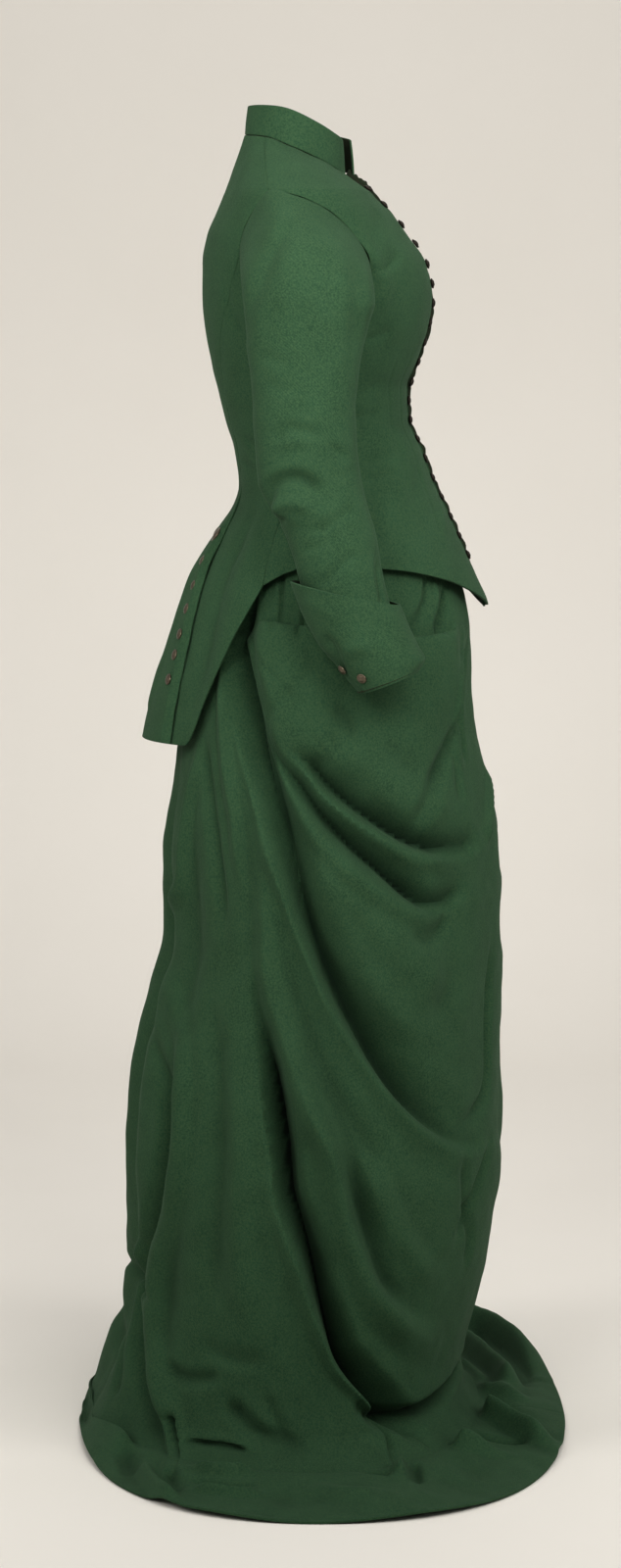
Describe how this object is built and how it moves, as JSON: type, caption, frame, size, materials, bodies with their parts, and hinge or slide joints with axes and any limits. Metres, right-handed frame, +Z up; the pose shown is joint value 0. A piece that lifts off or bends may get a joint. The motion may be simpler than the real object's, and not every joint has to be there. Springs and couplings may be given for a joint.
{
  "type": "riding habit",
  "caption": "Woman's wool riding habit of about 1885 in its hollow worn form: fitted tailed jacket with stand collar and turned-back cuffs, over a long skirt draped up on the right hip.",
  "frame": {"origin": "centre of the waist, where the wearer carries the clothes", "axes": "+Z up, the wearer's front faces -Y, the wearer's right is -X"},
  "size_m": [1.0245, 0.5315, 1.4266],
  "materials": {
    "wool": "matt dark green wool cloth, finely woven, with a slight nap",
    "button_metal": "small dull metal buttons"
  },
  "bodies": {
    "root": {"collar": "wool", "skirt_right_drape": "wool", "skirt_back": "wool", "skirt_front_left": "wool", "skirt_waistband": "wool", "front_right": "wool", "front_left": "wool", "side_right": "wool", "side_left": "wool", "side_back_right": "wool", "side_back_left": "wool", "back_right": "wool", "back_left": "wool", "upper_sleeve_right": "wool", "upper_sleeve_left": "wool", "under_sleeve_right": "wool", "under_sleeve_left": "wool", "cuff_right": "wool", "cuff_left": "wool", "front_button_1": "button_metal", "front_button_2": "button_metal", "front_button_3": "button_metal", "front_button_4": "button_metal", "front_button_5": "button_metal", "front_button_6": "button_metal", "front_button_7": "button_metal", "front_button_8": "button_metal", "front_button_9": "button_metal", "front_button_10": "button_metal", "front_button_11": "button_metal", "front_button_12": "button_metal", "front_button_13": "button_metal", "front_button_14": "button_metal", "front_button_15": "button_metal", "front_button_16": "button_metal", "front_button_17": "button_metal", "front_button_18": "button_metal", "front_button_19": "button_metal", "front_button_20": "button_metal", "tail_button_right_1": "button_metal", "tail_button_right_2": "button_metal", "tail_button_right_3": "button_metal", "tail_button_right_4": "button_metal", "tail_button_right_5": "button_metal", "tail_button_right_6": "button_metal", "tail_button_right_7": "button_metal", "cuff_button_right_1": "button_metal", "cuff_button_right_2": "button_metal", "tail_button_left_1": "button_metal", "tail_button_left_2": "button_metal", "tail_button_left_3": "button_metal", "tail_button_left_4": "button_metal", "tail_button_left_5": "button_metal", "tail_button_left_6": "button_metal", "tail_button_left_7": "button_metal", "cuff_button_left_1": "button_metal", "cuff_button_left_2": "button_metal"}
  },
  "joints": []
}
